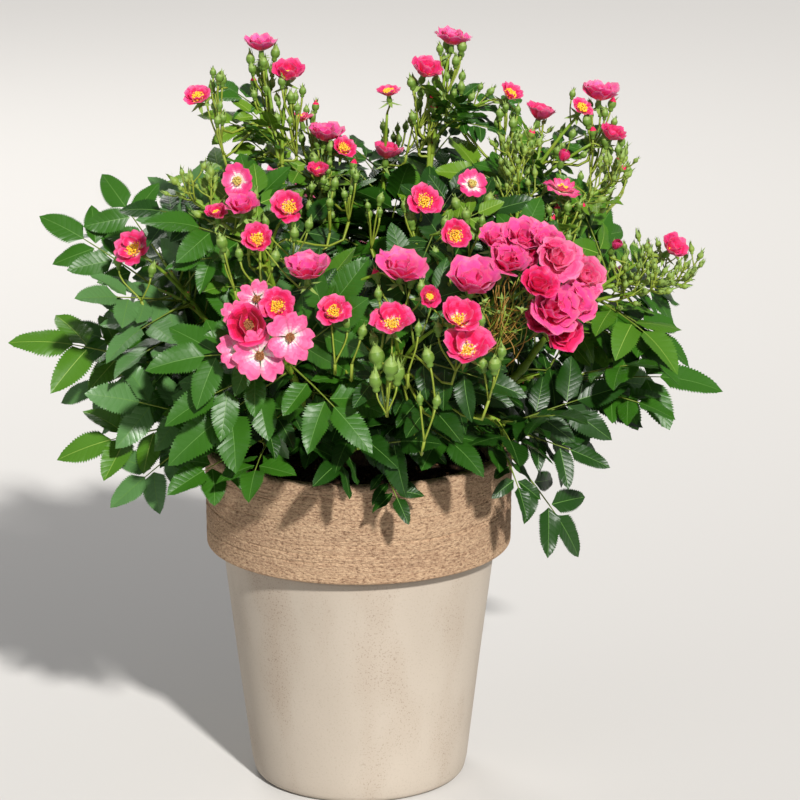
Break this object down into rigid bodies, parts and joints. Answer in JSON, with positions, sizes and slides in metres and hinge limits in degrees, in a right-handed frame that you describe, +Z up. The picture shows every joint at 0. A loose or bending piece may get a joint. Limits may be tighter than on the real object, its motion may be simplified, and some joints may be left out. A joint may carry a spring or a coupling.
{
  "type": "potted rose bush",
  "caption": "Bushy shrub rose with clusters of small pink blooms and glossy compound leaves, growing in a tapered clay pot with a broad bare band.",
  "frame": {"origin": "centre of the pot's flat underside", "axes": "+Z up along the pot's axis, +X to the right and +Y away from the viewer, seen from the front"},
  "size_m": [0.6793, 0.5501, 0.7372],
  "materials": {
    "pot": "matte",
    "compost": "matte",
    "stem": "matte",
    "cane": "satin",
    "foliage": "satin",
    "blossom": "satin"
  },
  "bodies": {
    "root": {"pot": "pot", "soil": "compost", "stem": "stem", "bough_left": "cane", "bough_front_left": "cane", "bough_front": "cane", "bough_cluster": "cane", "bough_right": "cane", "bough_top_right": "cane", "bough_back_right": "cane", "bough_back": "cane", "bough_back_left": "cane", "bough_top_left": "cane", "bough_left_tip": "cane", "bough_left_low": "cane", "bough_left_middle": "cane", "bough_front_left_low": "cane", "bough_front_middle": "cane", "bough_front_low": "cane", "bough_upper_middle": "cane", "bough_right_low": "cane", "bough_right_tip": "cane", "bough_right_shoulder": "cane", "bough_upper_right": "cane", "bough_back_top": "cane", "bough_right_back": "cane", "bough_back_right_low": "cane", "bough_back_low": "cane", "bough_back_left_low": "cane", "bough_inner_left": "cane", "foliage_left": "foliage", "foliage_front_left": "foliage", "foliage_front": "foliage", "foliage_cluster": "foliage", "foliage_right": "foliage", "foliage_top_right": "foliage", "foliage_back_right": "foliage", "foliage_back": "foliage", "foliage_back_left": "foliage", "foliage_top_left": "foliage", "foliage_left_tip": "foliage", "foliage_left_low": "foliage", "foliage_left_middle": "foliage", "foliage_front_left_low": "foliage", "foliage_front_middle": "foliage", "foliage_front_low": "foliage", "foliage_upper_middle": "foliage", "foliage_right_low": "foliage", "foliage_right_tip": "foliage", "foliage_right_shoulder": "foliage", "foliage_upper_right": "foliage", "foliage_back_top": "foliage", "foliage_right_back": "foliage", "foliage_back_right_low": "foliage", "foliage_back_low": "foliage", "foliage_back_left_low": "foliage", "foliage_inner_left": "foliage"}
  },
  "joints": []
}
